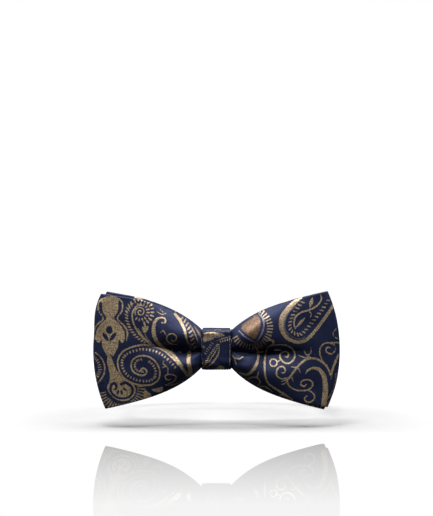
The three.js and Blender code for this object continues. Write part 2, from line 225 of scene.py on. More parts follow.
def stem_and_head(weave):
    """The stem that widens downwards into a round head, with its crescent, petals and fan."""
    weave.shape([(-52.8, -2), (-51.6, -2.9), (-50.3, -6), (-48.6, -10), (-46, -12.8), (-43.5, -14.4),
        (-41, -16.1), (-39.4, -18.9), (-40, -21.9), (-42.9, -24.4), (-46.6, -24.9), (-50, -23.5),
        (-52.6, -20.7), (-53.5, -17.9), (-52.2, -14.8), (-52.4, -10.5), (-53.6, -6)])
    weave.stroke([(-48.9, -17.7), (-49.9, -16.2), (-51.3, -17), (-51.7, -19.8), (-49.6, -22.5),
        (-46.4, -23.6), (-43, -23), (-41, -20.5), (-41.5, -17.8), (-44.4, -15.9), (-46.6, -16.7)],
        [1.3, 1.3, 1.2, 1.1, 1, 1, 1, 1.1, 1.2, 1.3, 1.2], cut=True)
    for tip in ((-50.2, -19.5), (-48.6, -21.7), (-46, -21.9), (-43.9, -19.8)):
        root = np.array([-47, -17.6])
        tip = np.array(tip)
        weave.leaf(root + 0.42 * (tip - root), tip, 1, cut=True)
    weave.rays((-46.4, -18.6), np.arange(-166, 8, 8.2), 7.9, 11.6, 0.88)
    weave.shape([(-35.4, -19.9), (-33.2, -20.3), (-31.8, -22.2), (-33, -24.4), (-35.4, -25.2)])
    weave.shape([(-31.7, -19.1), (-28.6, -18.4), (-26.3, -17.8), (-26.4, -20.2), (-29.4, -20.6)])


def edge_wheel(weave):
    """Part of a dashed wheel that runs off the left end."""
    centre = (-63.2, -9)
    weave.stroke(spiral(centre, 8.6, 8.6, -62, 124, 12), 0.8)
    weave.rays(centre, np.arange(-60, 62, 11), 5.4, 7, 0.75)


def great_spiral(weave):
    """The double spiral of the left wing, with its beads and its tail towards the knot."""
    tail = [(-14.1, -12.6), (-17.9, -7.5), (-22.1, -3.1), (-26.3, 0.2), (-31.7, 2.1), (-36.8, 2.5),
        (-41.8, 1.3), (-45.7, -0.7)]
    coil = [(-47.8, -3.9), (-48.2, -7.2), (-46.9, -11.2), (-44.3, -14.2), (-40.5, -16.2), (-35.9, -17.1),
        (-31.7, -16.7), (-28.6, -14.6), (-27.6, -11.6), (-28.1, -8.2), (-30, -5.2), (-33, -3.2),
        (-36, -2.7), (-39.2, -3.4), (-41.3, -5.6), (-41.6, -8.4), (-40.3, -10.7), (-38, -12),
        (-35.6, -12.2), (-34.1, -11.1), (-34.3, -9.5), (-35.8, -8.7), (-36.7, -9.5), (-36.2, -10.4)]
    line = weave.stroke(tail + coil, 0.92)
    weave.stroke([(-12.6, -12.4), (-15.4, -9.4), (-18.6, -5.6), (-22.4, -1.4), (-26.6, 1.2)],
        [0.5, 0.6, 0.7, 0.7, 0.5])
    first = len(smooth_curve(tail[:2] + tail[1:2], 7)) // 2
    weave.dashes(line[first:7 * 19], 1.85, 1.85, 2.45, 1)
    weave.dashes(line[7 * 20:7 * 27], 1.7, 1.6, 2, 0.9)


def beaded_spiral(weave):
    """The small beaded spiral above, its stem, its bud and its fringe of leaves."""
    centre = (-37.2, 18.7)
    weave.stroke(spiral(centre, 2.7, 0.3, 210, -560, 18), 0.62)
    weave.rays(centre, np.arange(-120, 130, 23), 3.3, 4.3, 0.9)
    weave.rays(centre, np.arange(-70, 150, 17), 5.3, 6.5, 1.05)
    weave.stroke([(-35.3, 21.7), (-37.4, 21.9), (-39.6, 20.9), (-41, 18.2), (-41, 15), (-39.7, 11.3),
        (-37.6, 7.9), (-34.7, 4.9), (-31.7, 2.5), (-28.4, 1.1)],
        [0.5, 0.7, 0.8, 0.9, 0.9, 0.9, 0.9, 0.8, 0.7, 0.5])
    weave.stroke([(-38.4, 10.9), (-36, 7), (-33, 4.2), (-29.4, 1.9)], 0.6, 0.4, 0.4)
    fringe = smooth_curve([(-41.4, 23.4), (-43.5, 20.3), (-44.3, 16.6), (-43.3, 12.6), (-41.2, 8.9),
        (-38.1, 5.6), (-34.6, 3.4)])
    points, along = resample(fringe, 1.55)
    for i, (p, d) in enumerate(zip(points, along)):
        fade = 1 - 0.5 * i / len(points)
        lean = np.array([d[1], -d[0]])
        weave.leaf(p + 1.9 * fade * (lean * -0.9 + d * 0.5), p + 1.5 * fade * (lean * 0.8 - d * 0.6), 0.95)
    for tip in ((-36.2, 11.9), (-34.7, 12.9), (-33.2, 12.2)):
        weave.leaf(tip, (-35, 8.2), 1.5)
    weave.stroke([(-35, 8.6), (-34.3, 6.6), (-31.8, 3.8)], 0.6, 0.5, 0.4)


def crescent_scroll(weave):
    """The thick scroll of the left wing, with the curls inside it."""
    weave.stroke([(-26.6, 13.5), (-24.9, 13.6), (-25.2, 15.5), (-27.4, 15.9), (-29.6, 14.6), (-30.5, 12),
        (-30.6, 8.8), (-29.8, 5.9), (-28, 3), (-25, 0.3), (-21.7, -1.5), (-18.7, -4.4), (-16.4, -7.4)],
        [0.7, 0.9, 0.9, 1, 1.4, 1.9, 2.1, 2.1, 1.9, 1.7, 1.4, 0.9, 0.5])
    weave.stroke([(-19.1, 2.7), (-22.3, 3.2), (-24.2, 5.4), (-23.5, 7.5), (-21.2, 8.2), (-19.5, 6.8),
        (-19.9, 5), (-21.4, 4.6), (-22.1, 5.7)], [0.4, 0.8, 0.8, 0.8, 0.8, 0.8, 0.8, 0.7, 0.6])
    weave.stroke([(-27.4, 8.6), (-25.9, 9.7), (-24.6, 7.4)], 0.6, 0.4, 0.5)
    weave.stroke([(-29.3, 19), (-26.7, 17.5), (-24.6, 18)], 0.6, 0.4, 0.4)
    weave.stroke([(-27.6, 20), (-25.9, 18.5)], 0.5)
    weave.stroke([(-25.6, -5), (-26, -6.6), (-24.9, -7.3), (-26.2, -8.6)], 0.6, 0.4, 0.4)
    weave.stroke([(-24.9, -7.6), (-23.7, -8.5), (-23.7, -11.5)], 0.6, 0.6, 0.6)
    weave.stroke([(-22.2, -14.1), (-24.1, -14.4), (-25, -12.4), (-22.9, -11.6), (-20.1, -12.3),
        (-19.7, -13.4), (-21, -15.3), (-23.5, -16.3)], [0.6, 0.8, 0.8, 0.8, 0.8, 0.7, 0.7, 0.5])
    weave.stroke([(-24.7, -16.9), (-22.3, -17), (-18.2, -15.9)], 0.6, 0.7, 0.4)


def left_of_knot(weave):
    """The slanting band, its beads and the stripe next to the knot."""
    weave.stroke([(-20.3, 17.7), (-17.8, 14.7), (-15.6, 10.3), (-14.7, 6.4), (-13.4, 2.3)],
        [1.2, 1.6, 1.5, 1.1, 0.5])
    weave.dashes(smooth_curve([(-16.9, 16.6), (-14.1, 12.4), (-12.4, 8.6), (-11.6, 4.6),
        (-10.4, 1)]), 2, -0.7, 0.7, 1, slant=-0.7)
    weave.stroke([(-13.2, 12.9), (-11.2, 9.6), (-9.6, 6), (-8.9, 3.6)], 0.6, 0.4, 0.4)
    weave.shape([(-11, 11.8), (-9.3, 10), (-7.4, 7.7), (-7, 4.6), (-8.3, 6.6), (-9.6, 9.2)])
    weave.stroke([(-13.3, -1.2), (-13.6, -5), (-13, -8.6), (-12.4, -12.6)], 2.1, 1.9, 1.9)


def medallion_fill(weave):
    weave.shape([(20.6, 16.6), (21.6, 13.6), (21.2, 10.9), (20.1, 8.1), (18.6, 5.4), (16.6, 6.5),
        (13.9, 8.5), (12.1, 10.8), (13, 13), (16.8, 15.6), (18.9, 17.2)])


def medallion(weave):
    """The drop next to the knot on the right wing and the dashes round it."""
    medallion_fill(weave)
    weave.rays((16.9, 10.9), np.arange(-150, 68, 9.2), 7.9, 10.3, 0.88)


def medallion_outline(weave):
    weave.stroke([(20.6, 18), (22.7, 15.2), (23.1, 12.2), (22.3, 8.9), (20.7, 5.9), (19, 4.1), (16.2, 5.3),
        (13.3, 7.2), (10.9, 9.6)], [0.6, 0.8, 0.8, 0.8, 0.8, 0.7, 0.7, 0.7, 0.5])
    weave.stroke([(38.6, 21.4), (35.2, 18.2), (33.4, 14.4), (33.2, 11.3), (34.4, 8.6), (36.9, 6.6),
        (40.6, 5.4), (43.6, 6.6)], [0.3, 0.4, 0.5, 0.5, 0.5, 0.4, 0.4, 0.3])


def teardrop(weave):
    """The big loop of the right wing, the dashes inside it and the vine that they hold."""
    loop = [(40.9, 25.6), (38.2, 23.4), (35, 20.2), (32.7, 17), (31.6, 13.8), (31.7, 10.8), (32.9, 8),
        (35, 5.6), (37.9, 4.2), (41, 4), (44, 5.2), (47.2, 8.2), (50.5, 12.4), (53.6, 16.6), (57, 21.6)]
    weave.stroke(loop, [2, 2.3, 2.6, 2.7, 2.6, 2.4, 2.2, 2, 1.8, 1.7, 1.7, 1.7, 1.7, 1.7, 1.6])
    rows = smooth_curve([(41.8, 24.6), (38.2, 20.6), (35.7, 16.4), (34.7, 12.8), (35.2, 9.8), (37.2, 7.5),
        (40.2, 6.6), (43.2, 8), (46.4, 11.6), (49.6, 15.6), (52.9, 19.8), (55.9, 24.4)])
    weave.dashes(rows, 2, 0.45, 1.75, 0.85, slant=-0.6)
    weave.stroke([(51, 27), (51.2, 24.6), (49, 21.6), (45.4, 19.7), (41.2, 18.4), (38.6, 16.2),
        (37.8, 13.2), (38.5, 10.4)], [0.7, 0.8, 0.9, 0.9, 0.9, 0.9, 0.8, 0.5])
    weave.stroke([(44.9, 19.3), (46.3, 17.6), (45.8, 16)], 0.6, 0.6, 0.4)
    weave.leaf((43.4, 16.1), (38.6, 10.9), 1.5)
    weave.leaf((47, 25.9), (45.5, 20.6), 1.9)


def coils_of_the_right_wing(weave):
    """The long stem next to the puff, its coil, and the small ring and coil beside it."""
    weave.stroke([(25, 5.2), (26.9, 4.9), (27.9, 3.7), (26.9, 2.6), (25.1, 1.1), (24.1, -1.8), (23.6, -5.2),
        (23.5, -9), (23.9, -12.9), (25.3, -16.2), (28.6, -18.7), (32.6, -21.2), (37.2, -24.4)],
        [0.7, 1.1, 1, 0.8, 0.9, 1, 1.1, 1.1, 1, 1, 1, 1, 0.9])
    weave.stroke([(25.5, 1.9), (29.3, 2.6), (33.5, 2.5), (36.8, 0.8), (38.3, -1.9), (37.7, -4.6),
        (35.3, -6.4), (32.6, -5.7), (31, -3.3), (31.8, -1.4), (33.9, -0.7), (35.3, -2), (34.6, -3.6),
        (33.4, -3.2)], [0.5, 0.7, 0.8, 0.9, 0.9, 0.9, 0.9, 0.9, 0.9, 0.8, 0.8, 0.8, 0.8, 0.7])
    weave.stroke(spiral((27.8, -6.1), 1.75, 1.75, 0, 360, 14), 0.72)
    weave.stroke([(29.7, -5.8), (31.2, -4.8)], 0.5)
    weave.stroke([(35.2, -13.2), (32.2, -13.9), (29.9, -12.9), (29.2, -10.8), (30.2, -8.5), (32.3, -8),
        (33.6, -9.6), (32.9, -11), (31.6, -10.9)], [0.6, 0.7, 0.8, 0.8, 0.8, 0.8, 0.8, 0.7, 0.5])


def vine(weave):
    """The branching vine of the right wing and its twigs."""
    weave.stroke([(55.9, -14.2), (55.4, -11.1), (53.3, -7.3), (49.6, -4.6), (46, -4), (42.7, -5.2),
        (39.8, -7.9), (37.2, -11.1), (35, -13.9), (31.6, -15.2)],
        [0.5, 0.9, 1.1, 1.1, 1.1, 1.1, 1.1, 1.1, 1, 0.5])
    twigs = [[(40, -7.9), (38.2, -8.4), (36.4, -8.1)], [(39.6, -8.6), (40.3, -9.6), (40.8, -10.9)],
        [(46.4, -3.8), (43.9, -2.3), (42.6, 0.2)], [(44.3, -2.6), (46.1, -1.3), (46.1, 1.2)], [(44.8, -3.9),
        (42.2, -3.4), (39.9, -2.4)], [(36.6, -11.9), (36.9, -13.8), (37.4, -15)], [(35, -14.4),
        (33.2, -16.3), (31.6, -16.6)]]
    for twig in twigs:
        weave.stroke(twig, 0.65, 0.7, 0.5)
    weave.stroke([(52.2, -6), (50.7, -2.6), (50.5, 0.5), (52.3, 3), (55, 3.5), (57.6, 2.4), (58.1, 0.2),
        (56.6, -1.8), (54.2, -1.3), (53.4, 0.3), (54.5, 1.4), (55.8, 0.8)],
        [0.5, 0.8, 0.8, 0.8, 0.8, 0.8, 0.8, 0.8, 0.8, 0.7, 0.7, 0.6])
    weave.stroke([(54.6, 3.5), (57, 3.7), (60, 3.5)], 0.7)
    weave.stroke(spiral((59.4, 8), 2.3, 2.3, 110, 150, 8), 0.7)
    weave.stroke([(34.7, -14.6), (35.1, -17), (37.7, -19), (41, -19.8), (44.8, -19.3), (46.9, -17.5),
        (46.6, -15.4), (44.1, -14.4), (41.7, -15.1), (41.2, -16.8), (42.7, -17.7), (43.9, -16.7)],
        [0.5, 0.8, 0.8, 0.8, 0.8, 0.9, 0.9, 0.9, 0.9, 0.9, 0.8, 0.7])
    weave.stroke([(44.4, -19.4), (47, -20.9), (47.9, -23.2), (46.2, -25.3), (43.8, -25.2), (43, -23.5),
        (44.2, -22.3)], [0.6, 0.8, 0.8, 0.9, 0.9, 0.8, 0.6])


def hook_band(weave):
    """The hooked band of the right wing and the lines along its end."""
    weave.stroke([(43.4, -11.6), (44.6, -9.9), (47, -8.7), (50, -9.4), (52.1, -11.9), (53, -15.4),
        (53.2, -19.6), (52.8, -24), (52.3, -29)], [0.4, 1, 1.3, 1.8, 2.2, 2.5, 2.7, 2.8, 2.8])
    weave.stroke([(59.6, -2.4), (57.8, -6.6), (56.4, -10.6), (55.8, -14)], [1.2, 1.3, 1.1, 0.6])
    for shift in (0, 1):
        weave.stroke([(58.2 + shift, -11.4), (56.8 + shift, -16.6), (55.4 + shift, -22),
            (54.7 + shift, -27)], 0.45)


def right_of_knot(weave):
    """The arc, the sprig and the small curls next to the knot on the right wing."""
    weave.stroke([(18.6, 1.9), (20, 0.2), (20.5, -3), (19.3, -7), (17.2, -10.2), (14.6, -11.7),
        (11.2, -11)], [0.7, 1, 1.3, 1.6, 1.6, 1.4, 0.8])
    weave.stroke([(19.8, 2.4), (22, 1.7), (22.2, -0.2)], 0.6, 0.4, 0.4)
    weave.stroke([(7.4, -2.3), (8.9, -3.6), (11, -4.1), (13, -3)], [0.5, 0.8, 0.9, 0.5])
    weave.stroke([(8.6, -3.4), (9.6, -6.9)], [0.6, 0.5])
    weave.stroke([(15.2, -14.2), (17.2, -13.1), (19.6, -12.9), (20.5, -10.6)], 0.8, 0.5, 0.5)
    weave.stroke([(19.6, -12.9), (21.3, -15.4), (20.1, -17.2)], 0.8, 0.7, 0.6)
    weave.stroke([(21, -17.6), (24.2, -18), (27.7, -20.6)], 0.7, 0.5, 0.5)
    weave.stroke([(30.3, -22), (32.3, -21.9), (33.6, -22.8)], 0.8, 0.4, 0.4)


WING_FIGURES = (vase, stem_and_head, edge_wheel, great_spiral, beaded_spiral, crescent_scroll, left_of_knot,
                medallion, teardrop, coils_of_the_right_wing, vine, hook_band, right_of_knot)


def knot_figures(weave):
    """The figures on the front of the knot: a wedge, beaded lines and a slanting leaf."""
    weave.shape([(-6.4, 4.2), (-6.2, 7.3), (-4.4, 8.2), (0.1, 7.9), (3.6, 7.3), (0.4, 6.4), (-3.4, 4.9)])
    weave.stroke([(-6.4, 3.6), (-3.2, 4.6), (0.2, 5.9), (3.8, 6.9)], 0.42)
    weave.stroke([(-4.6, 9.3), (0, 8.8), (6.6, 9.2)], 0.35)
    weave.stroke([(-5, 10.2), (0, 9.6), (6.6, 10)], 0.3)
    weave.stroke([(0, 4.2), (3.2, 5.3), (6.8, 6.4)], 0.5, 0.4, 0.4)
    weave.dashes(smooth_curve([(1.4, 3.4), (3.6, 4.3), (6.8, 5)]), 1.15, -0.4, 0.4, 0.75, slant=0.2)
    leaf = smooth_curve([(1.1, 2.4), (-0.8, 0.4), (-2.8, -2.6), (-4.8, -6), (-5.8, -9)])
    weave.dashes(leaf, 1.05, -0.55, 0.35, 0.62, slant=-0.5)
    weave.stroke([(1.3, 1.4), (1.1, -1.2), (-0.2, -4.2), (-2.6, -7), (-5, -9.2)], [0.4, 0.7, 1, 0.8, 0.4])
    weave.stroke([(0.6, 0.6), (-1.6, -2.8), (-3.8, -6.2)], 0.55, 0.4, 0.4)
    weave.dashes(smooth_curve([(-1.6, 3.4), (-3.6, 0.6), (-5.4, -2)]), 1.2, -0.5, 0.5, 0.55)
    weave.leaf((-6.5, 1.8), (-6, 0.2), 1)
    weave.shape([(-0.6, -9.6), (1, -8.1), (2.6, -7.9), (4.2, -9.4), (2, -10.8)])
    weave.stroke([(6.4, 7), (6.55, 0), (6.4, -8)], 0.4, 0.3, 0.5)
    weave.stroke([(-6.9, -6.6), (-6.4, -8.4), (-6.6, -9.6)], 0.6)


# ---- shape of the bows

def beyond_waist(x):
    return np.maximum(0, np.abs(x) - WAIST_HALF_LENGTH)


def half_height(x):
    t = beyond_waist(x)
    return WAIST_HALF_HEIGHT + FLARE_SLOPE * t + FLARE_RISE * (1 - np.exp(-t / FLARE_LENGTH))


def end_x(v):
    return CORNER_X + END_BULGE * (1 - v * v)


def crease_height(x):
    """Height of the valley that runs from the knot into each wing."""
    t = beyond_waist(x)
    left = -0.8 + 2.4 * smoothstep(0, 22, t)
    return np.where(x < 0, left, -0.7 + 0.8 * smoothstep(4, 18, t) - 0.5 * smoothstep(18, 34, t))


def front_relief(x, v):
    """How far the cloth stands forward of the gathered plane, from 0 to about 1.5.

    Next to the knot each wing is two rolls with a deep valley between them. Further out the rolls
    open into one panel, sooner on the left wing than on the right.
    """
    right = x > 0

    def wing(key):
        return np.where(right, WINGS[key][1], WINGS[key][0])

    t = beyond_waist(x)
    z = v * half_height(x)
    centre = crease_height(x)
    above = z > centre
    edge = np.where(above, half_height(x), -half_height(x))
    valley = 0.45 + wing("valley") * smoothstep(0, 7, t)
    gap = valley * (1 - smoothstep(wing("valley_from"), wing("valley_to"), t))
    q = np.clip((np.abs(z - centre) - gap) / (np.abs(edge - centre) - gap), 0, 1)
    upper = 1.50 * np.abs(np.sin(np.pi * q ** 0.80)) ** 0.66
    lower = 1.30 * np.abs(np.sin(np.pi * q ** 0.72)) ** 0.58
    lobes = np.where(above, upper, lower) * (1 - 0.12 * smoothstep(4, 20, t))
    sheet = 1.05 - 0.6 * v * v
    open_out = smoothstep(wing("open_from"), wing("open_to"), t)
    profile = lobes * (1 - open_out) + sheet * open_out
    low = centre - wing("hollow_drop") * smoothstep(8, 20, t)
    spread = np.where(z > low, wing("hollow_above"), wing("hollow_below"))
    hollow = wing("hollow") * np.exp(-((z - low) / spread) ** 2)
    hollow = hollow * smoothstep(8, 18, t) * (1 - smoothstep(26, 42, t))
    along = np.sin(np.pi * np.minimum(1, t / 52) ** 0.42)
    swing = 0.32 * t + wing("gather_phase") + 0.5 * np.sin(0.5 * z)
    gathers = 0.075 * np.sin(2.6 * q * np.pi + swing) * np.exp(-((t - 3.5) / 5.5) ** 2)
    ray = 0.055 * np.sin(7.5 * z / half_height(x) + 0.05 * x)
    ray = ray * smoothstep(3, 9, t) * (1 - smoothstep(12, 24, t))
    ripple = 0.05 * np.sin(z * 0.42 + x * 0.13) * np.sin(x * 0.15 + 1.3) * smoothstep(6, 16, t)
    return along * (profile - hollow) + (gathers + ray) * smoothstep(0, 2, t) + ripple


def back_relief(x, v):
    t = beyond_waist(x)
    z = v * half_height(x)
    valley = np.exp(-(z / (1.6 + 0.1 * t)) ** 2 - (t / 18) ** 2)
    return np.sin(np.pi * np.minimum(1, t / 50) ** 0.62) * (1 - 0.7 * v * v) * (1 - 0.85 * valley)


def panel_y(bow, side, x, v):
    drift = smoothstep(0, 1, beyond_waist(x) / DRIFT_LENGTH)
    if side == "front":
        return bow["front"] - bow["front_puff"] * front_relief(x, v) + bow["front_drift"] * drift
    return bow["back"] + bow["back_puff"] * back_relief(x, v) + bow["back_drift"] * drift


def loop_columns(front_steps, back_steps, fold_steps):
    """The stations of one loop: (kind, value) with kind front, right, back or left."""
    half_turn = np.radians(90)
    front = [("front", s) for s in np.linspace(-1, 1, front_steps)]
    right = [("right", a) for a in np.linspace(-half_turn, half_turn, fold_steps + 2)[1:-1]]
    back = [("back", s) for s in np.linspace(1, -1, back_steps)]
    left = [("left", a) for a in np.linspace(half_turn, -half_turn, fold_steps + 2)[1:-1]]
    return front + right + back + left


def loop_surface(bow, columns, v, depth, lift):
    """Points (columns, rows, 3) of a loop, set inwards by depth, with lift added past each edge."""
    kind = np.array([c[0] for c in columns])[:, None]
    value = np.array([c[1] for c in columns], float)[:, None]
    v, depth, lift = (np.asarray(a, float)[None, :] for a in (v, depth, lift))
    reach = end_x(v) - FOLD_RADIUS
    on_panel = (kind == "front") | (kind == "back")
    side = np.where(kind == "left", -1.0, 1.0)
    x_panel = value * reach
    y_front = panel_y(bow, "front", x_panel, v) + depth
    y_back = panel_y(bow, "back", x_panel, v) - depth
    edge_front = panel_y(bow, "front", side * reach, v)
    edge_back = panel_y(bow, "back", side * reach, v)
    half_gap = (edge_back - edge_front) / 2 - depth
    x_fold = side * (reach + (FOLD_RADIUS - depth) * np.cos(value))
    y_fold = (edge_front + edge_back) / 2 + half_gap * np.sin(value)
    x = np.where(on_panel, x_panel, x_fold)
    y = np.where(kind == "front", y_front, np.where(kind == "back", y_back, y_fold))
    t = beyond_waist(x)
    shoulder = SHOULDER * smoothstep(6.0, 8.2, np.abs(x)) * np.exp(-t / 7) * (v + 1) / 2
    z = v * half_height(x) + shoulder + lift
    corner = smoothstep(34, 60, -x) * smoothstep(6, 27, z)
    low_corner = smoothstep(40, 58, x) * smoothstep(14, 27, -z)
    x = x - bow["corner_out"] * corner
    z = z - bow["corner_down"] * corner + bow["low_corner_up"] * low_corner
    return np.stack([x + 0 * z, y + 0 * z, z], -1)


def section_rows(outer_rows, inner_rows, low, high, hem=4, close_low=0.0, close_high=0.0, reach=1.0):
    """Closed section of a layer: up its outer side, over the hem, down its inner side and back.

    Near the hems the layer thickens by close_low outwards and close_high inwards, so that two
    layers meet there. reach is how far towards the bow's edge the layer goes.
    """
    turn = np.radians(np.linspace(0, 180, hem + 2)[1:-1])
    up = np.linspace(-1, 1, outer_rows)
    down = np.linspace(1, -1, inner_rows)
    v = np.concatenate([up, np.ones(hem), down, -np.ones(hem)])
    near_hem = smoothstep(0.93, 0.985, np.abs(v))
    outer = low - close_low * near_hem
    inner = high + close_high * near_hem
    across = np.concatenate([np.zeros(outer_rows), (1 - np.cos(turn)) / 2,
                             np.ones(inner_rows), (1 + np.cos(turn)) / 2])
    depth = outer * (1 - across) + inner * across
    bulge = (high + close_high - low + close_low) / 2 * np.sin(turn)
    lift = np.concatenate([np.zeros(outer_rows), bulge, np.zeros(inner_rows), -bulge])
    return v * reach, depth, lift


# ---- meshes

def grid_object(name, points, closed_rows=True, closed_columns=True):
    """An object of quads on a (columns, rows, 3) grid in millimetres."""
    columns, rows = points.shape[:2]
    i = np.arange(columns if closed_columns else columns - 1)[:, None]
    j = np.arange(rows if closed_rows else rows - 1)[None, :]
    i1, j1 = (i + 1) % columns, (j + 1) % rows
    quads = np.stack([i * rows + j, i1 * rows + j, i1 * rows + j1, i * rows + j1], -1).reshape(-1, 4)
    mesh = bpy.data.meshes.new(name)
    mesh.vertices.add(columns * rows)
    mesh.vertices.foreach_set("co", (points.reshape(-1) * MM).astype(np.float32))
    mesh.loops.add(quads.size)
    mesh.loops.foreach_set("vertex_index", quads.reshape(-1).astype(np.int32))
    mesh.polygons.add(len(quads))
    mesh.polygons.foreach_set("loop_start", np.arange(0, quads.size, 4, dtype=np.int32))
    mesh.update(calc_edges=True)
    mesh.validate()
    mesh.polygons.foreach_set("use_smooth", np.ones(len(mesh.polygons), bool))
    obj = bpy.data.objects.new(name, mesh)
    bpy.context.scene.collection.objects.link(obj)
    return obj


def set_floats(obj, name, values):
    layer = obj.data.attributes.new(name, "FLOAT", "POINT")
    layer.data.foreach_set("value", np.asarray(values, np.float32).reshape(-1))


def set_cloth(obj, *axes):
    """Keeps the place in the flat cloth of each point, for the weave of its material."""
    values = np.stack(np.broadcast_arrays(*axes), -1)
    layer = obj.data.attributes.new("cloth", "FLOAT_VECTOR", "POINT")
    layer.data.foreach_set("vector", values.astype(np.float32).reshape(-1))


def face_outward(obj, cap=False):
    """Turns the faces outwards, after closing any open ends when cap is set."""
    mesh = bmesh.new()
    mesh.from_mesh(obj.data)
    if cap:
        bmesh.ops.holes_fill(mesh, edges=[e for e in mesh.edges if e.is_boundary], sides=0)
    bmesh.ops.recalc_face_normals(mesh, faces=mesh.faces)
    mesh.to_mesh(obj.data)
    mesh.free()


# ---- materials

class Nodes:
    """A short way to write a node tree."""

    def __init__(self, name):
        self.material = bpy.data.materials.new(name)
        self.material.use_nodes = True
        self.tree = self.material.node_tree
        self.shader = self.tree.nodes["Principled BSDF"]

    def fill(self, socket, value):
        """Links an output to a socket, or sets a number, a vector or a colour on it."""
        if isinstance(value, bpy.types.NodeSocket):
            self.tree.links.new(value, socket)
        else:
            socket.default_value = (*value, 1.0) if socket.type == "RGBA" else value

    def add(self, kind, *values, **settings):
        """A node with its properties set and its first inputs filled."""
        node = self.tree.nodes.new("ShaderNode" + kind)
        for key, value in settings.items():
            setattr(node, key, value)
        for socket, value in zip(node.inputs, values):
            self.fill(socket, value)
        return node

    def set(self, node=None, **values):
        """Fills the named inputs of a node, or else of the shader."""
        for name, value in values.items():
            self.fill((node or self.shader).inputs[name.replace("_", " ")], value)
        return node

    def attribute(self, name, output="Fac"):
        return self.add("Attribute", attribute_name=name).outputs[output]

    def math(self, operation, a, b=0.0):
        return self.add("Math", a, b, operation=operation).outputs[0]

    def total(self, first, *terms):
        """An output plus others, each times its own weight."""
        for term, weight in terms:
            first = self.math("ADD", first, self.math("MULTIPLY", term, weight))
        return first

    def scaled(self, vector, scale):
        return self.add("VectorMath", vector, scale, operation="MULTIPLY").outputs[0]

    def noise(self, vector, scale, detail=2.0, roughness=0.5):
        node = self.add("TexNoise", vector)
        return self.set(node, Scale=scale, Detail=detail, Roughness=roughness).outputs["Fac"]

    def cell(self, vector):
        """A random value, the same all over each unit cell of the vector."""
        whole = self.add("VectorMath", vector, operation="FLOOR").outputs[0]
        return self.add("TexWhiteNoise", whole, noise_dimensions="3D").outputs["Value"]

    def twill(self, vector, pitch):
        """Slanting ribs across the cloth, from 0 to 1; pitch is in the vector's own units."""
        slant = self.add("VectorMath", vector, (0.62 / pitch, 0.78 / pitch, 0.0), operation="DOT_PRODUCT")
        wave = self.math("SINE", self.math("MULTIPLY", slant.outputs["Value"], 2 * math.pi))
        return self.math("ADD", self.math("MULTIPLY", wave, 0.5), 0.5)

    def ramp(self, value, low, high, to_low=0.0, to_high=1.0, kind="LINEAR"):
        return self.add("MapRange", value, low, high, to_low, to_high, interpolation_type=kind).outputs[0]

    def mix(self, factor, a, b, blend="MIX"):
        node = self.add("Mix", factor, data_type="RGBA", blend_type=blend)
        self.fill(node.inputs[6], a)
        self.fill(node.inputs[7], b)
        return node.outputs[2]

    def bump(self, height, distance, strength):
        node = self.set(self.add("Bump"), Strength=strength, Distance=distance, Height=height)
        self.set(Normal=node.outputs["Normal"])


NAVY_DEEP = (0.0045, 0.0062, 0.019)
NAVY_LIT = (0.0140, 0.0190, 0.050)
GOLD_DEEP = (0.082, 0.059, 0.033)
GOLD_LIT = (0.64, 0.49, 0.305)
BROWN = (0.34, 0.27, 0.24)
SILVER_DEEP = (0.10, 0.088, 0.12)
SILVER_LIT = (0.22, 0.20, 0.235)
SATIN_DEEP = (0.007, 0.009, 0.028)
SATIN_LIT = (0.020, 0.026, 0.080)
THREADS = (4.2, 5.4, 1.0)


def jacquard_material():
    """Navy satin with figures woven in gold and pale threads, their edges stepped by the weave."""
    n = Nodes("navy_gold_jacquard")
    cloth = n.attribute("cloth", "Vector")
    step = n.math("MULTIPLY", n.math("SUBTRACT", n.cell(n.scaled(cloth, THREADS)), 0.5), 0.26)
    gold = n.ramp(n.math("ADD", n.attribute("gold"), step), 0.02, 0.14)
    silver = n.ramp(n.math("ADD", n.attribute("silver"), step), -0.05, 0.07)
    grain = n.cell(n.scaled(cloth, (2.1, 2.9, 1.0)))
    cloud = n.noise(cloth, 0.5, 3.0, 0.6)
    twill = n.twill(cloth, 0.46)
    warp = n.noise(n.scaled(cloth, (5.0, 0.35, 1.0)), 1.0)
    navy = n.mix(n.ramp(n.total(warp, (grain, 0.35)), 0.35, 0.95), NAVY_DEEP, NAVY_LIT)
    speckle = n.ramp(n.total(n.math("MULTIPLY", grain, 0.52), (cloud, 0.22), (twill, 0.30)), 0.18, 0.80)
    brown = n.ramp(n.attribute("brown"), -0.1, 0.1)
    gold_colour = n.mix(brown, n.mix(speckle, GOLD_DEEP, GOLD_LIT), BROWN, "MULTIPLY")
    silver_colour = n.mix(speckle, SILVER_DEEP, SILVER_LIT)
    figure = n.math("MAXIMUM", gold, silver)
    n.set(Base_Color=n.mix(silver, n.mix(gold, navy, gold_colour), silver_colour),
          Roughness=n.ramp(figure, 0.0, 1.0, 0.46, 0.34), Metallic=n.ramp(figure, 0.0, 1.0, 0.0, 0.5),
          Specular_IOR_Level=0.34, Specular_Tint=(0.48, 0.55, 0.95), Sheen_Weight=0.05,
          Sheen_Roughness=0.4, Sheen_Tint=(0.3, 0.4, 1.0))
    n.bump(n.total(n.math("MULTIPLY", figure, 0.5), (grain, 0.22), (twill, 0.28)), 0.00012, 0.6)
    return n.material


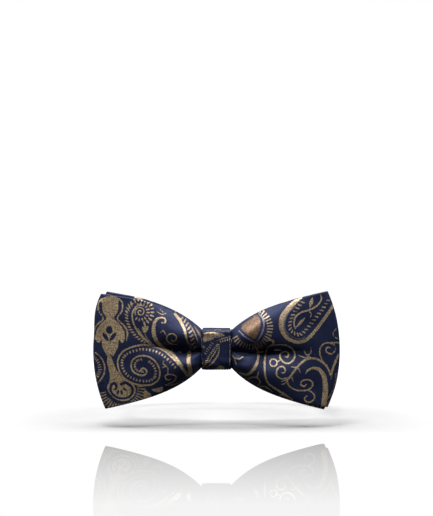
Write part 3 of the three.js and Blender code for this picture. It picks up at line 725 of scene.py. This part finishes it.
def satin_material():
    """Plain satin with fine slanting ribs."""
    n = Nodes("navy_satin")
    cloth = n.attribute("cloth", "Vector")
    warp = n.noise(n.scaled(cloth, (6.0, 0.5, 1.0)), 1.0, 3.0)
    grain = n.cell(n.scaled(cloth, THREADS))
    tone = n.ramp(n.total(warp, (grain, 0.35)), 0.35, 1.0)
    ribs = n.add("TexWave", cloth, bands_direction="DIAGONAL")
    slant = n.set(ribs, Scale=1.1, Distortion=0.6).outputs["Fac"]
    n.set(Base_Color=n.mix(tone, SATIN_DEEP, SATIN_LIT), Roughness=n.ramp(slant, 0.0, 1.0, 0.47, 0.38),
          Specular_IOR_Level=0.38, Sheen_Weight=0.06, Sheen_Roughness=0.45, Sheen_Tint=(0.5, 0.6, 1.0))
    n.bump(n.total(slant, (grain, 0.6)), 0.00008, 0.6)
    return n.material


def wadding_material():
    """Brushed off-white interlining."""
    n = Nodes("brushed_interlining")
    fibre = n.noise(n.attribute("cloth", "Vector"), 2.6, 6.0, 0.7)
    n.set(Base_Color=n.mix(fibre, (0.42, 0.40, 0.35), (0.74, 0.71, 0.64)), Roughness=0.95, Sheen_Weight=0.3)
    n.bump(fibre, 0.0003, 0.8)
    return n.material


def thread_material():
    """Twisted sewing thread."""
    n = Nodes("navy_sewing_thread")
    place = n.add("TexCoord").outputs["Object"]
    twist = n.set(n.add("TexWave", place, bands_direction="DIAGONAL"), Scale=1400).outputs["Fac"]
    n.set(Base_Color=n.mix(twist, (0.010, 0.012, 0.036), (0.045, 0.052, 0.12)),
          Roughness=0.6, Sheen_Weight=0.4)
    n.bump(twist, 0.00005, 0.7)
    return n.material


def nickel_material():
    """Softly polished nickel plate with faint brushing and handling marks."""
    n = Nodes("nickel_plate")
    place = n.add("TexCoord").outputs["Object"]
    brushed = n.noise(n.scaled(place, (900.0, 900.0, 9000.0)), 1.0, 3.0)
    cloud = n.noise(place, 420.0, 4.0, 0.6)
    n.set(Base_Color=n.mix(cloud, (0.60, 0.57, 0.52), (0.78, 0.76, 0.72)), Metallic=1.0,
          Roughness=n.ramp(n.math("ADD", brushed, cloud), 0.6, 1.4, 0.20, 0.34))
    n.bump(brushed, 0.00002, 0.35)
    return n.material


JACQUARD = jacquard_material()
SATIN = satin_material()
WADDING = wadding_material()
THREAD = thread_material()
NICKEL = nickel_material()


def dress(obj, material, slot, body, *nodes):
    """Gives a piece its material and the body that it rides on, and hides the CAD nodes it stands for. slot
    is not used.
    """
    obj.data.materials.clear()
    obj.data.materials.append(material)
    if body:
        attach(obj, body)
    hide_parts(*nodes)


# ---- camera, floor and lights

EYE_DISTANCE = 1.050
EYE_HEIGHT = 0.045
LENS = 150.0
FLOOR_Z = -0.038
SHADE_END = -0.085
MIRROR_START = -0.11
MIRROR_END = -0.34
MIRROR_MOST = 0.50
MIRROR_LEAST = 0.10
ROOM_LIGHT = 0.08


def make_camera():
    data = bpy.data.cameras.new("camera")
    data.lens = LENS
    data.sensor_width = 36.0
    data.clip_start, data.clip_end = 0.05, 20.0
    camera = bpy.data.objects.new("camera", data)
    camera.location = (0.0, -EYE_DISTANCE - 0.014, EYE_HEIGHT)
    camera.rotation_euler = (math.radians(90), 0, 0)
    bpy.context.scene.collection.objects.link(camera)
    bpy.context.scene.camera = camera


def make_floor():
    """A white sweep that takes a soft shadow, and a faint mirror image in front of the bow."""
    corner = np.array([-4000.0, 4000.0])
    x, y = np.meshgrid(corner, corner, indexing="ij")
    floor = grid_object("floor", np.stack([x, y, 0 * x + FLOOR_Z / MM], -1), False, False)
    n = Nodes("white_sweep")
    place = n.add("TexCoord").outputs["Object"]
    away = n.add("VectorMath", place, operation="LENGTH").outputs["Value"]
    depth = n.add("SeparateXYZ", place).outputs["Y"]
    n.set(Base_Color=(0.43, 0.43, 0.43), Roughness=1.0, Specular_IOR_Level=0.0, Emission_Color=(1, 1, 1),
          Emission_Strength=n.ramp(away, 0.10, 0.85, 0.0, 1.02))
    share = n.ramp(depth, MIRROR_START, MIRROR_END, MIRROR_MOST, MIRROR_LEAST)
    gloss = n.set(n.add("BsdfGlossy"), Roughness=0.0, Color=share)
    glow = n.set(n.add("Emission"), Strength=n.math("SUBTRACT", 1.0, share))
    mirror = n.add("AddShader", gloss.outputs[0], glow.outputs[0])
    near = n.ramp(depth, SHADE_END, MIRROR_START, kind="SMOOTHSTEP")
    beside = n.ramp(away, 0.5, 0.9, 1.0, 0.0, kind="SMOOTHSTEP")
    zone = n.add("MixShader", n.math("MULTIPLY", near, beside), n.shader.outputs[0], mirror.outputs[0])
    n.fill(n.tree.nodes["Material Output"].inputs["Surface"], zone.outputs[0])
    floor.data.materials.append(n.material)
    floor.visible_diffuse = False
    floor.visible_glossy = False


def make_light(name, place, aim, size, power):
    data = bpy.data.lights.new(name, "AREA")
    data.shape = "RECTANGLE"
    data.size, data.size_y = size
    data.energy = power
    light = bpy.data.objects.new(name, data)
    light.location = place
    light.rotation_euler = (Vector(aim) - Vector(place)).to_track_quat("-Z", "Y").to_euler()
    bpy.context.scene.collection.objects.link(light)


def make_world():
    """A dim room for the bow, and a white one for the camera and for the floor's sharp mirror."""
    world = bpy.data.worlds.new("studio")
    bpy.context.scene.world = world
    world.use_nodes = True
    tree = world.node_tree
    room = tree.nodes["Background"]
    white, seen, either, pick = (tree.nodes.new("ShaderNode" + kind)
                                 for kind in ("Background", "LightPath", "Math", "MixShader"))
    for background, strength in ((room, ROOM_LIGHT), (white, 1.0)):
        background.inputs["Color"].default_value = (1, 1, 1, 1)
        background.inputs["Strength"].default_value = strength
    either.operation = "MAXIMUM"
    links = ((seen.outputs["Is Camera Ray"], either.inputs[0]),
             (seen.outputs["Is Singular Ray"], either.inputs[1]),
             (either.outputs[0], pick.inputs[0]), (room.outputs[0], pick.inputs[1]),
             (white.outputs[0], pick.inputs[2]),
             (pick.outputs[0], tree.nodes["World Output"].inputs["Surface"]))
    for output, socket in links:
        tree.links.new(output, socket)
    bpy.context.scene.view_settings.view_transform = "Standard"
    bpy.context.scene.view_settings.look = "None"


make_camera()
make_floor()
make_world()
make_light("key", (-0.10, -0.50, 0.66), (0, -0.01, 0), (0.20, 0.14), 5.0)
make_light("overhead", (0.0, 0.0, 0.85), (0, 0, 0), (2.2, 1.1), 29.0)


# ---- bows

def turned(points, bow):
    """The rear bow is a little smaller and turned in its own plane."""
    if bow is not REAR_BOW:
        return points
    c, s = math.cos(REAR_TURN), math.sin(REAR_TURN)
    x, z = points[..., 0] * REAR_SHRINK, points[..., 2] * REAR_SHRINK
    return np.stack([x * c + z * s, points[..., 1], z * c - x * s], -1)


def make_layer(name, bow, columns, rows, low, high, node, material, slot, **hems):
    """One layer of a bow as a closed band, with its hems."""
    v, depth, lift = section_rows(*rows, low, high, **hems)
    points = loop_surface(bow, columns, v, depth, lift)
    obj = grid_object(name, turned(points, bow))
    behind = np.array([k == "back" or (k != "front" and a > 0) for k, a in columns])[:, None]
    x, z = points[..., 0], points[..., 2]
    set_cloth(obj, np.where(behind, 140 - x, x), v[None, :] * 28, 0 * x)
    if material is JACQUARD:
        flip = -1.0 if bow is REAR_BOW else 1.0
        figure = np.stack([np.where(behind, -x, x) * flip, np.where(behind, -z, z)], -1).reshape(-1, 2)
        set_floats(obj, "gold", Weave(figure, *WING_FIGURES).value)
        set_floats(obj, "silver", Weave(figure, medallion_outline).value)
        set_floats(obj, "brown", Weave(figure, medallion_fill).value)
    face_outward(obj)
    dress(obj, material, slot, "bow", node)


def make_bow(prefix, bow, front_steps, back_steps, rows):
    fine = loop_columns(front_steps, back_steps, 12)
    coarse = loop_columns(96, 96, 8)
    make_layer(prefix + "_face_cloth", bow, fine, (rows, 46), 0.0, 0.72, prefix + "_face", JACQUARD,
               "jacquard", close_high=0.40)
    make_layer(prefix + "_core", bow, coarse, (30, 30), 0.86, 1.26, prefix + "_interlining", WADDING,
               "interlining", reach=0.9)
    make_layer(prefix + "_inner_cloth", bow, coarse, (60, 60), 1.38, 2.1, prefix + "_lining", SATIN,
               "satin", close_low=0.20)


make_bow("front_bow", FRONT_BOW, 336, 60, 154)
make_bow("rear_bow", REAR_BOW, 120, 200, 110)


# ---- knot

KNOT_BACK = 0.0
KNOT_FRONT = -16.0
KNOT_HALF_HEIGHT = 10.0
KNOT_HALF_WIDTH = 7.2
KNOT_WALL = 0.9
KNOT_LIFT = 0.45
KNOT_FRONT_CORNER = 4.0
KNOT_BACK_CORNER = 2.0


def knot_path(step):
    """Side view of the wrap: rows (y, z, normal y, normal z), starting at the middle of its front."""
    front, back, top = KNOT_FRONT, KNOT_BACK, KNOT_HALF_HEIGHT
    corners = [(front, top, KNOT_FRONT_CORNER, 180, 90), (back, top, KNOT_BACK_CORNER, 90, 0),
               (back, -top, KNOT_BACK_CORNER, 0, -90), (front, -top, KNOT_FRONT_CORNER, -90, -180)]
    points = [np.array([[front, 0.0]])]
    for y, z, r, start, end in corners:
        a = np.radians(np.linspace(start, end, max(4, int(r * 1.57 / step))))
        cy = y + r if y < -8 else y - r
        cz = z - r if z > 0 else z + r
        points.append(np.stack([cy + r * np.cos(a), cz + r * np.sin(a)], 1))
    outline = np.vstack(points + [points[0]])
    girth = lengths_along(outline)[-1]
    count = int(girth / step)
    at = np.arange(count) * girth / count
    y, z = at_lengths(outline, at).T
    ahead = [np.roll(c, -1) - np.roll(c, 1) for c in (y, z)]
    size = np.hypot(*ahead)
    around = np.where(at > girth / 2, at - girth, at)
    return np.stack([y, z, -ahead[1] / size, ahead[0] / size, around], 1)


def make_knot_wrap():
    """The wrap, with its crowned front, the fold line near its top and slight drag lines."""
    path = knot_path(0.32)
    y, z, ny, nz, around = (path[:, i][:, None] for i in range(5))
    u, depth, lift = section_rows(58, 20, 0.0, KNOT_WALL, hem=5)
    u, depth, lift = u[None, :], depth[None, :], lift[None, :]
    half = KNOT_HALF_WIDTH - 0.35 * smoothstep(4, 8, around) * (around > 0)
    x = u * (half - KNOT_WALL / 2) + lift
    on_front = smoothstep(13, 8, np.abs(around))
    crown = 0.55 * (1 - (x / half) ** 2) * on_front - 0.3 * smoothstep(0.75, 1.0, np.abs(u)) * on_front
    fold = -0.55 * np.exp(-((around - 8.9 - 0.06 * x) / 0.38) ** 2)
    lip = 0.4 * np.exp(-((around - 7.9 - 0.06 * x) / 0.8) ** 2)
    drag = 0.16 * np.sin(1.3 * around + 0.5 * x + 0.9 * np.sin(0.6 * x)) * smoothstep(1, 7, np.abs(around))
    out = (crown + fold + lip + drag) * (depth < KNOT_WALL / 2) - depth
    points = np.stack([x + 0 * y, y + ny * out, z + nz * out + KNOT_LIFT], -1)
    obj = grid_object("knot_wrap_cloth", points)
    half_way = float(np.max(around))
    figure_s = np.where(np.abs(around) < half_way / 2, around, around - np.sign(around) * half_way)
    figure = np.stack([x + 0 * y, figure_s + 0 * x], -1).reshape(-1, 2)
    set_floats(obj, "gold", Weave(figure, knot_figures).value)
    for colour in ("silver", "brown"):
        set_floats(obj, colour, Weave(figure).value)
    set_cloth(obj, x, around, 0 * x + 0 * y)
    face_outward(obj)
    dress(obj, JACQUARD, "jacquard", "bow", "knot_wrap")


def make_knot_pad():
    """The folded wadding that fills out the front of the knot."""
    half_x, half_z, back, front = 6.2, 6.6, -13.9, -14.9
    turns, rings = 64, 14
    angle = np.linspace(0, 2 * math.pi, turns, endpoint=False)[:, None]
    rise = np.linspace(-math.pi / 2, math.pi / 2, rings + 2)[None, 1:-1]
    square = 0.22
    radial = np.sign(np.cos(rise)) * np.abs(np.cos(rise)) ** 0.35
    x = half_x * np.sign(np.cos(angle)) * np.abs(np.cos(angle)) ** square * radial
    z = half_z * np.sign(np.sin(angle)) * np.abs(np.sin(angle)) ** square * radial
    y = (back + front) / 2 + (back - front) / 2 * np.sin(rise) + 0 * angle
    obj = grid_object("knot_wadding", np.stack([x, y, z], -1), False, True)
    face_outward(obj, cap=True)
    set_cloth(obj, x, z, y)
    dress(obj, WADDING, "interlining", "bow", "knot_pad")


# ---- ribbons and thread

def tube_points(path, radius, sides=8):
    """A round tube along a path of 3-D points in millimetres, as a grid."""
    path = np.asarray(path, float)
    along = np.gradient(path, axis=0)
    along /= np.linalg.norm(along, axis=1, keepdims=True)
    hint = np.array([1.0, 0.3, 0.2]) if abs(along[0, 0]) < 0.7 else np.array([0.1, 0.3, 1.0])
    side = []
    last = hint
    for d in along:
        last = last - d * (last @ d)
        last = last / np.linalg.norm(last)
        side.append(last)
    side = np.array(side)
    other = np.cross(along, side)
    a = np.linspace(0, 2 * math.pi, sides, endpoint=False)
    return (path[:, None] + radius * (np.cos(a)[None, :, None] * side[:, None]
                                      + np.sin(a)[None, :, None] * other[:, None]))


def thread_object(name, paths, radius, closed=False):
    """Several strands of thread as one object."""
    whole = bmesh.new()
    for path in paths:
        strand = grid_object(name + "_strand", tube_points(path, radius), True, closed)
        face_outward(strand, cap=not closed)
        whole.from_mesh(strand.data)
        data = strand.data
        bpy.data.objects.remove(strand)
        bpy.data.meshes.remove(data)
    bmesh.ops.recalc_face_normals(whole, faces=whole.faces)
    mesh = bpy.data.meshes.new(name)
    whole.to_mesh(mesh)
    whole.free()
    mesh.polygons.foreach_set("use_smooth", np.ones(len(mesh.polygons), bool))
    obj = bpy.data.objects.new(name, mesh)
    bpy.context.scene.collection.objects.link(obj)
    return obj


def make_gather_thread():
    """Three turns of thread that hold both bows gathered."""
    half, front, back = 8.65, -13.4, -3.0
    corner = 0.6
    paths = []
    for i in range(3):
        x = -1.2 + i * 1.2
        ring = []
        for y, z, start in ((front, half, 180), (back, half, 90), (back, -half, 0), (front, -half, -90)):
            cy = y + corner if y == front else y - corner
            cz = z - corner if z > 0 else z + corner
            for a in np.radians(np.linspace(start, start - 90, 6)):
                ring.append((x, cy + corner * math.cos(a), cz + corner * math.sin(a)))
        ring = np.array(ring)
        ring[:, 0] += np.linspace(0, 0.35, len(ring)) * np.sin(np.linspace(0, math.pi, len(ring)))
        paths.append(ring)
    obj = thread_object("gathering_thread", paths, 0.2, closed=True)
    dress(obj, THREAD, "thread", "bow", "gather_thread")


def make_knot_stitches():
    """Slanting stitches that close the wrap under the knot."""
    z = KNOT_LIFT - KNOT_HALF_HEIGHT - 0.22
    paths = []
    for i in range(9):
        x = -5.3 + i * 1.3
        t = np.linspace(0, 1, 9)
        paths.append(np.stack([x + 0.75 * t, -5.4 + 1.8 * t, z - 0.22 * np.sin(math.pi * t)], 1))
    obj = thread_object("knot_closing_stitches", paths, 0.19)
    dress(obj, THREAD, "thread", "bow", "knot_stitches")


BAND_WIDTH = 12.7
BAND_Z = -2.5
BAND_THICKNESS = 0.9
BAND_FRONT_Y = -1.9
STRAIGHT = 8.0
ARC = 44.0
SIDE = 46.0
FRONT_CENTRE_Y = BAND_FRONT_Y + ARC
REAR_CENTRE_Y = FRONT_CENTRE_Y + SIDE
BAR_X = 13.4
TURN_RADIUS = 1.35
TAB = 9.0
SLIDER_Y = 66.0
SLIDER_BAR_X = 54.55
REAR_ANGLE = math.acos((BAR_X - STRAIGHT) / ARC)


def arc(cx, cy, r, start, end, step=0.9):
    a = np.linspace(start, end, max(6, int(abs(end - start) * r / step)))
    return np.stack([cx + r * np.cos(a), cy + r * np.sin(a)], 1)


def ribbon_path(parts, step=0.8):
    """Joins stretches of a plan path and spaces its points evenly."""
    whole = np.vstack(parts)
    keep = np.concatenate([[True], np.linalg.norm(np.diff(whole, axis=0), axis=1) > 1e-4])
    whole = whole[keep]
    total = lengths_along(whole)[-1]
    at = np.linspace(0, total, int(total / step))
    return at_lengths(whole, at), at


def make_ribbon(name, parts, mirror=False, step=0.8):
    """A turned tube of satin pressed flat: rounded folded edges, and a seam along its inner face."""
    path, at = ribbon_path(parts, step)
    along = np.gradient(path, axis=0)
    along /= np.linalg.norm(along, axis=1, keepdims=True)
    out = np.stack([along[:, 1], -along[:, 0]], 1)
    half = BAND_WIDTH / 2
    edge = BAND_THICKNESS / 2
    rows = np.linspace(-1, 1, 26)
    turn = np.radians(np.linspace(90, -90, 7)[1:-1])
    z = np.concatenate([rows * (half - edge), half - edge + edge * np.cos(turn),
                        -rows * (half - edge), -half + edge - edge * np.cos(turn)])
    off = np.concatenate([np.full(26, edge), edge * np.sin(turn), np.full(26, -edge), -edge * np.sin(turn)])
    face = np.concatenate([np.ones(26), np.zeros(5), -np.ones(26), np.zeros(5)])
    soft = 0.07 * np.sin(at * 0.31)[:, None] * np.cos(z * 0.5)[None, :]
    pressed = -0.10 * np.exp(-((np.abs(z) - half + 1.5) / 0.28) ** 2) * np.abs(face)
    seam = -0.16 * np.exp(-((z - 0.4) / 0.22) ** 2) * (face < 0)
    offset = off[None, :] + soft * 0.6 + (np.sign(off) * (pressed + seam))[None, :]
    x = path[:, None, 0] + out[:, None, 0] * offset
    y = path[:, None, 1] + out[:, None, 1] * offset
    points = np.stack([-x if mirror else x, y, BAND_Z + z[None, :] + 0 * x], -1)
    obj = grid_object(name, points, True, False)
    face_outward(obj, cap=True)
    set_cloth(obj, z[None, :], at[:, None], 0 * x)
    obj.visible_glossy = False
    return obj, at[-1]


def bar_centre():
    reach = ARC + TURN_RADIUS
    return STRAIGHT + reach * math.cos(REAR_ANGLE), REAR_CENTRE_Y + reach * math.sin(REAR_ANGLE)


def side_path(inner_end):
    """Half of the band, from inside the knot round to its turn about the bar at the rear."""
    half_pi = math.pi / 2
    bar_x, bar_y = bar_centre()
    return [np.array([[inner_end, BAND_FRONT_Y]]), arc(STRAIGHT, FRONT_CENTRE_Y, ARC, -half_pi, 0),
            arc(STRAIGHT, REAR_CENTRE_Y, ARC, 0, REAR_ANGLE),
            arc(bar_x, bar_y, TURN_RADIUS, REAR_ANGLE + math.pi, REAR_ANGLE, 0.35)[1:]]


def make_half_band(name, side, node, tab=()):
    """Half of the band, mirrored for the left side."""
    obj, length = make_ribbon(name, side_path(0.2) + list(tab), mirror=side < 0)
    dress(obj, SATIN, "satin", None, node, "neckband_front")
    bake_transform(obj)


def make_neckband():
    outside = ARC + 2 * TURN_RADIUS
    tab = arc(STRAIGHT, REAR_CENTRE_Y, outside, REAR_ANGLE, REAR_ANGLE - TAB / ARC)
    make_half_band("neckband_left_cloth", -1, "neckband_left", [tab[1:]])
    make_half_band("neckband_right_cloth", 1, "neckband_right")
    tail = [(SLIDER_BAR_X - TURN_RADIUS + 0.5, SLIDER_Y + 3.4), (SLIDER_BAR_X + 0.1, SLIDER_Y + 5),
            (SLIDER_BAR_X + 0.1, SLIDER_Y + TAB)]
    run, length = make_ribbon("neckband_return_cloth", [
        arc(STRAIGHT, REAR_CENTRE_Y, outside, REAR_ANGLE - 0.3 / ARC, 0),
        arc(SLIDER_BAR_X, SLIDER_Y, TURN_RADIUS, 0, -math.pi, 0.35), np.array(tail)], step=0.6)
    dress(run, SATIN, "satin", None, "neckband_return")
    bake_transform(run)


def make_bar_tack(name, place, across, body, node):
    """Close zigzag stitches that hold the end of a tab."""
    length, width, stitches = 9.6, 1.4, 26
    t = np.linspace(0, 1, stitches * 6 + 1)
    swing = np.abs((t * stitches) % 2 - 1) * 2 - 1
    path = place + np.outer(t * length, (0.0, 0.0, 1.0)) + np.outer(swing * width / 2, across)
    obj = thread_object(name, [path], 0.17)
    obj.visible_glossy = False
    dress(obj, THREAD, "thread", body, node)


def make_tacks():
    angle = REAR_ANGLE - (TAB - 2) / ARC
    out = np.array([-math.cos(angle), math.sin(angle), 0])
    skin = BAND_THICKNESS / 2 + 0.05
    eye_place = np.array([-STRAIGHT, REAR_CENTRE_Y, BAND_Z - 4.8]) + out * (ARC + 2 * TURN_RADIUS + skin)
    slider_place = np.array([SLIDER_BAR_X + TURN_RADIUS + skin, SLIDER_Y + TAB - 2, BAND_Z - 4.8])
    make_bar_tack("eye_tab_bar_tack", eye_place, (out[1], -out[0], 0.0), "strap_left", "eye_tab_stitches")
    make_bar_tack("slider_tab_bar_tack", slider_place, (0.0, 1.0, 0.0), "slider", "slider_tab_stitches")


def make_hardware(node):
    """A nickel piece with rounded edges, from its CAD solid."""
    mesh = bmesh.new()
    mesh.from_mesh(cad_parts[node].data)
    bmesh.ops.remove_doubles(mesh, verts=mesh.verts, dist=1e-6)
    bmesh.ops.dissolve_limit(mesh, angle_limit=math.radians(2), verts=mesh.verts, edges=mesh.edges)
    sharp = [e for e in mesh.edges if e.is_manifold and e.calc_face_angle() > math.radians(40)]
    bmesh.ops.bevel(mesh, geom=sharp, offset=0.00022, segments=3, profile=0.5, affect="EDGES",
                    clamp_overlap=True)
    bmesh.ops.triangulate(mesh, faces=mesh.faces)
    data = bpy.data.meshes.new(node + "_plated")
    mesh.to_mesh(data)
    mesh.free()
    obj = bpy.data.objects.new(node + "_plated", data)
    bpy.context.scene.collection.objects.link(obj)
    obj.visible_glossy = False
    dress(obj, NICKEL, "nickel", node, node)


make_knot_wrap()
make_knot_pad()
make_gather_thread()
make_knot_stitches()
make_neckband()
make_tacks()
for fitting in ("slider", "eye", "hook"):
    make_hardware(fitting)
